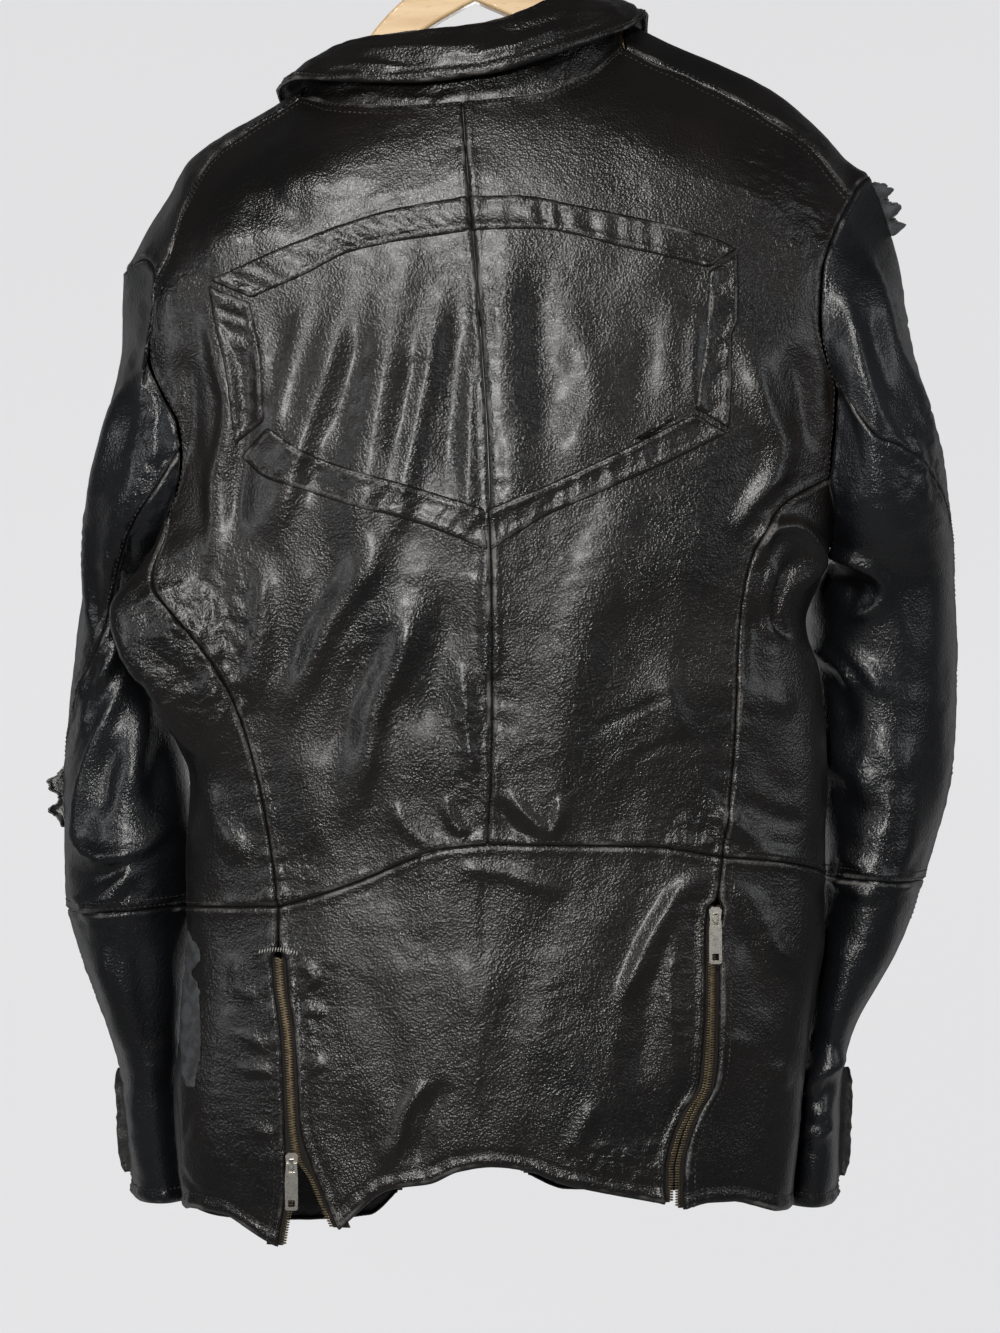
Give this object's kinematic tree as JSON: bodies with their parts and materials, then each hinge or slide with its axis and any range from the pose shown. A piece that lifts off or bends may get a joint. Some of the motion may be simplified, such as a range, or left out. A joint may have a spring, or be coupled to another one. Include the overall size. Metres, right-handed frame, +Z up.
{
  "type": "worn leather jacket on a wooden hanger",
  "caption": "Worn black leather jacket with shirt collar, banded back and zipped hem vents, hung open-fronted on a flat wooden hanger with a wire hook.",
  "frame": {"origin": "inside the crown of the hanger's hook, where a rail would carry it", "axes": "+Z up along the hanging jacket, +X across the shoulders towards the jacket's right sleeve, -Y out of the jacket's back, +Y out of its open front"},
  "size_m": [0.6419, 0.2137, 0.9437],
  "materials": {
    "body_leather": "glossy black pebbled leather, slightly warm, creased and worn",
    "sleeve_leather": "glossy black pebbled leather, slightly cool, creased and worn",
    "raw_leather": "matt grey, finish worn off",
    "zip_tape": "dark brown woven tape",
    "zip_teeth": "dull darkened brass",
    "nickel": "worn pale nickel plate",
    "wood": "pale beech, satin",
    "steel_wire": "plated wire"
  },
  "bodies": {
    "jacket": {"back_right": "body_leather", "back_left": "body_leather", "side_right": "body_leather", "side_left": "body_leather", "skirt_right": "body_leather", "skirt_left": "body_leather", "front_right": "body_leather", "front_left": "body_leather", "shoulder_right": "body_leather", "shoulder_left": "body_leather", "band_top_right": "body_leather", "band_top_left": "body_leather", "band_side_right": "body_leather", "band_side_left": "body_leather", "band_low_right": "body_leather", "band_low_left": "body_leather", "skirt_back": "body_leather", "collar_stand": "body_leather", "collar_fall": "body_leather", "sleeve_top_right": "sleeve_leather", "sleeve_top_left": "sleeve_leather", "sleeve_under_right": "sleeve_leather", "sleeve_under_left": "sleeve_leather", "forearm_right": "sleeve_leather", "forearm_left": "sleeve_leather", "vent_flap_right": "sleeve_leather", "vent_flap_left": "sleeve_leather", "torn_shoulder": "raw_leather", "torn_sleeve": "raw_leather", "torn_edge": "raw_leather", "hanger_arms": "wood", "hanger_hook": "steel_wire", "hem_zip_right_outer_tape": "zip_tape", "hem_zip_right_outer_teeth": "zip_teeth", "hem_zip_right_inner_tape": "zip_tape", "hem_zip_right_inner_teeth": "zip_teeth", "front_zip_right_tape": "zip_tape", "front_zip_right_teeth": "zip_teeth", "hem_zip_right_slider": "nickel", "hem_zip_left_outer_tape": "zip_tape", "hem_zip_left_outer_teeth": "zip_teeth", "hem_zip_left_inner_tape": "zip_tape", "hem_zip_left_inner_teeth": "zip_teeth", "front_zip_left_tape": "zip_tape", "front_zip_left_teeth": "zip_teeth", "hem_zip_left_slider": "nickel", "front_zip_slider": "nickel"},
    "hem_zip_right_tab": {"hem_zip_right_tab": "nickel"},
    "hem_zip_left_tab": {"hem_zip_left_tab": "nickel"},
    "front_zip_tab": {"front_zip_tab": "nickel"}
  },
  "joints": [
    {"name": "hem_zip_right_tab_swing", "type": "hinge", "parent": "jacket", "child": "hem_zip_right_tab", "pos_m": [0.15504, -0.07279, -0.71402], "axis": [-1, 0, 0], "range_deg": [0, 150]},
    {"name": "hem_zip_left_tab_swing", "type": "hinge", "parent": "jacket", "child": "hem_zip_left_tab", "pos_m": [-0.12388, -0.07988, -0.87499], "axis": [-1, 0, 0], "range_deg": [0, 150]},
    {"name": "front_zip_tab_swing", "type": "hinge", "parent": "jacket", "child": "front_zip_tab", "pos_m": [0.02756, 0.08195, -0.84892], "axis": [1, 0, 0], "range_deg": [0, 150]}
  ]
}
